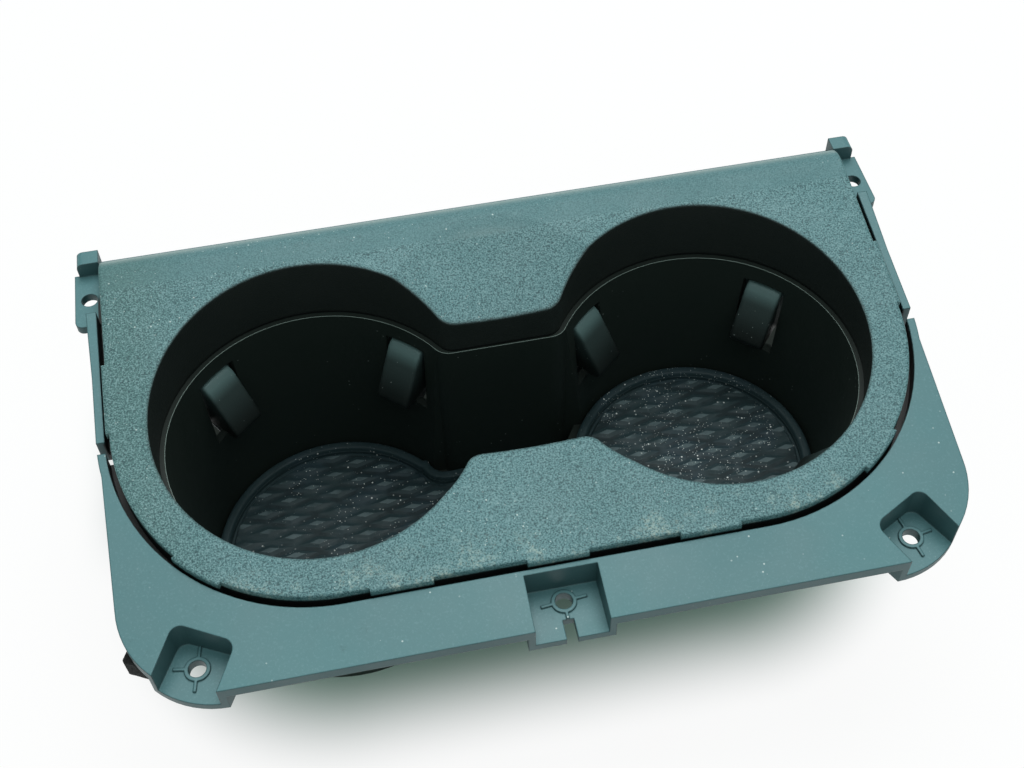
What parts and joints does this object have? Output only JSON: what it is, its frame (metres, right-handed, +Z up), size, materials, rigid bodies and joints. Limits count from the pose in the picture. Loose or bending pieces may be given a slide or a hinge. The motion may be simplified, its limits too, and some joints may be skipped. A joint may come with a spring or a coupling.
{
  "type": "car cup holder",
  "caption": "Car console cup holder with two joined round wells, a sloping grained cover on a screw-down frame, rubber mats and sprung gripping fingers.",
  "frame": {"origin": "centre of the bounding box in plan, at the plane the tub stands on", "axes": "+X to the right along the line of the two cups, +Y to the rear where the cover is highest, +Z up"},
  "size_m": [0.2142, 0.1242, 0.0793],
  "materials": {
    "cover_plastic": "satin",
    "frame_plastic": "satin",
    "tub_plastic": "satin",
    "mat_rubber": "matte",
    "finger_plastic": "satin",
    "foam": "matte",
    "pin_steel": "satin",
    "spring_steel": "satin",
    "zinc_screw": "satin"
  },
  "bodies": {
    "holder": {"cup_liner": "tub_plastic", "top_cover": "cover_plastic", "base_frame": "frame_plastic", "left_mat": "mat_rubber", "right_mat": "mat_rubber", "liner_screws": "zinc_screw", "foam_pad": "foam", "left_rear_outer_pin": "pin_steel", "left_rear_outer_spring": "spring_steel", "left_rear_inner_pin": "pin_steel", "left_rear_inner_spring": "spring_steel", "left_front_outer_pin": "pin_steel", "left_front_outer_spring": "spring_steel", "right_rear_outer_pin": "pin_steel", "right_rear_outer_spring": "spring_steel", "right_rear_inner_pin": "pin_steel", "right_rear_inner_spring": "spring_steel", "right_front_outer_pin": "pin_steel", "right_front_outer_spring": "spring_steel"},
    "left_rear_outer_finger_body": {"left_rear_outer_finger": "finger_plastic"},
    "left_rear_inner_finger_body": {"left_rear_inner_finger": "finger_plastic"},
    "left_front_outer_finger_body": {"left_front_outer_finger": "finger_plastic"},
    "right_rear_outer_finger_body": {"right_rear_outer_finger": "finger_plastic"},
    "right_rear_inner_finger_body": {"right_rear_inner_finger": "finger_plastic"},
    "right_front_outer_finger_body": {"right_front_outer_finger": "finger_plastic"}
  },
  "joints": [
    {"name": "left_rear_outer_hinge", "type": "hinge", "parent": "holder", "child": "left_rear_outer_finger_body", "pos_m": [-0.07889, 0.03626, 0.0498], "axis": [0.7501, 0.6613, 0], "range_deg": [0, 32], "stiffness_Nm_per_rad": 0.06, "springref_deg": -11.46, "deforming": ["left_rear_outer_spring"]},
    {"name": "left_rear_inner_hinge", "type": "hinge", "parent": "holder", "child": "left_rear_inner_finger_body", "pos_m": [-0.02111, 0.03626, 0.0498], "axis": [0.7501, -0.6613, 0], "range_deg": [0, 32], "stiffness_Nm_per_rad": 0.06, "springref_deg": -11.46, "deforming": ["left_rear_inner_spring"]},
    {"name": "left_front_outer_hinge", "type": "hinge", "parent": "holder", "child": "left_front_outer_finger_body", "pos_m": [-0.07889, -0.02926, 0.0498], "axis": [-0.7501, 0.6613, 0], "range_deg": [0, 32], "stiffness_Nm_per_rad": 0.06, "springref_deg": -11.46, "deforming": ["left_front_outer_spring"]},
    {"name": "right_rear_outer_hinge", "type": "hinge", "parent": "holder", "child": "right_rear_outer_finger_body", "pos_m": [0.07889, 0.03626, 0.0498], "axis": [0.7501, -0.6613, 0], "range_deg": [0, 32], "stiffness_Nm_per_rad": 0.06, "springref_deg": -11.46, "deforming": ["right_rear_outer_spring"]},
    {"name": "right_rear_inner_hinge", "type": "hinge", "parent": "holder", "child": "right_rear_inner_finger_body", "pos_m": [0.02111, 0.03626, 0.0498], "axis": [0.7501, 0.6613, 0], "range_deg": [0, 32], "stiffness_Nm_per_rad": 0.06, "springref_deg": -11.46, "deforming": ["right_rear_inner_spring"]},
    {"name": "right_front_outer_hinge", "type": "hinge", "parent": "holder", "child": "right_front_outer_finger_body", "pos_m": [0.07889, -0.02926, 0.0498], "axis": [-0.7501, -0.6613, 0], "range_deg": [0, 32], "stiffness_Nm_per_rad": 0.06, "springref_deg": -11.46, "deforming": ["right_front_outer_spring"]}
  ]
}
